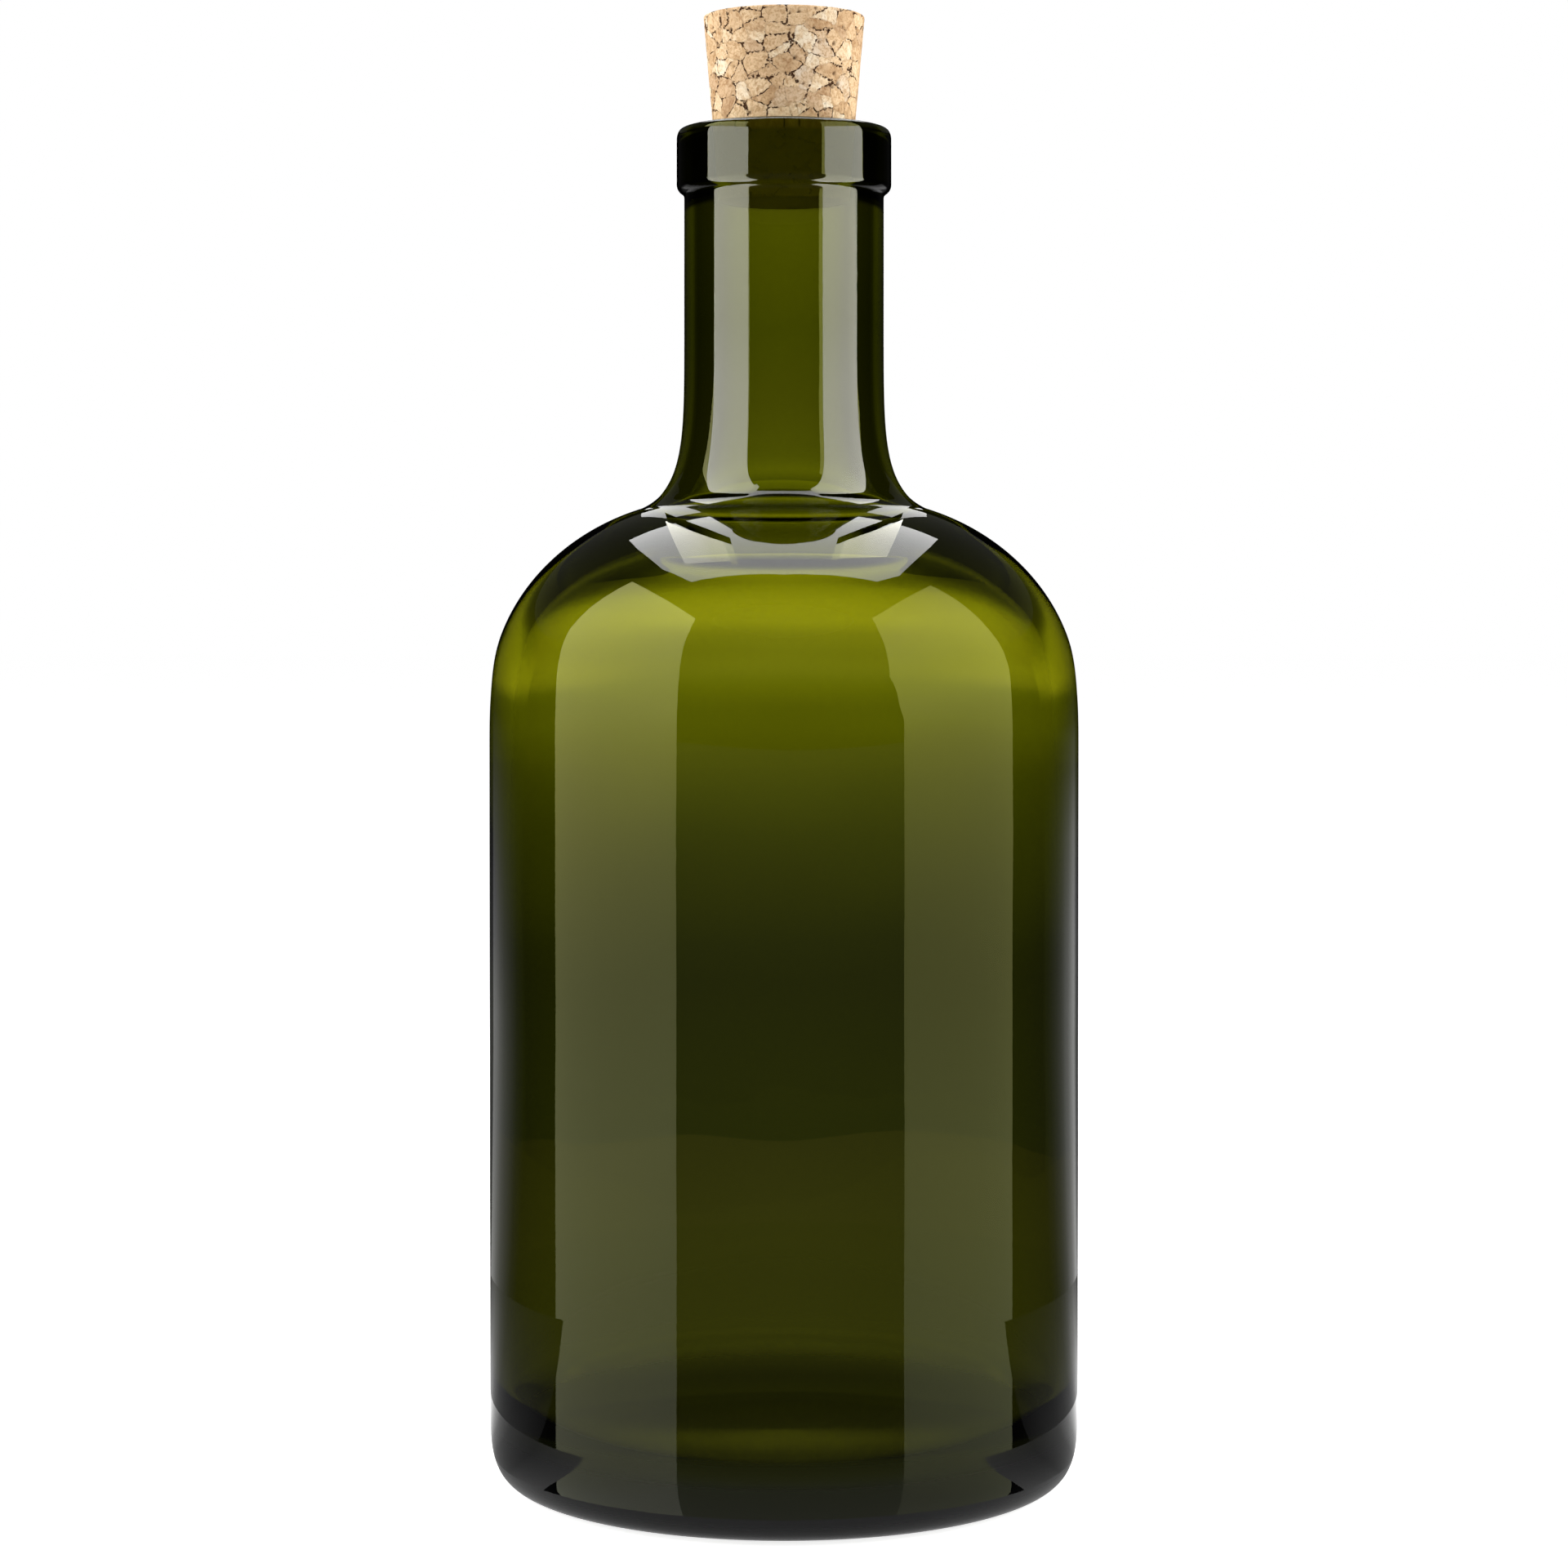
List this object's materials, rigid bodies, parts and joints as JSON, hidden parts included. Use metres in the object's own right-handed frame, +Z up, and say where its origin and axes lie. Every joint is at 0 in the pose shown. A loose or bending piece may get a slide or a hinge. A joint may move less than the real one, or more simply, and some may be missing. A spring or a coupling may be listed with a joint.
{
  "type": "glass oil bottle with cork",
  "caption": "Round olive green glass bottle with a domed shoulder, long neck and collared mouth, closed by a tapered pressed cork.",
  "frame": {"origin": "centre of the base, on the surface that the bottle stands on", "axes": "+Z up along the bottle's axis, towards the cork; X and Y are any level pair, as the bottle is round"},
  "size_m": [0.08, 0.08, 0.199],
  "materials": {
    "glass": "clear gloss, tinted olive green through its whole thickness",
    "cork": "matt pressed cork granules"
  },
  "bodies": {
    "root": {"bottle": "glass", "cork": "cork"}
  },
  "joints": []
}
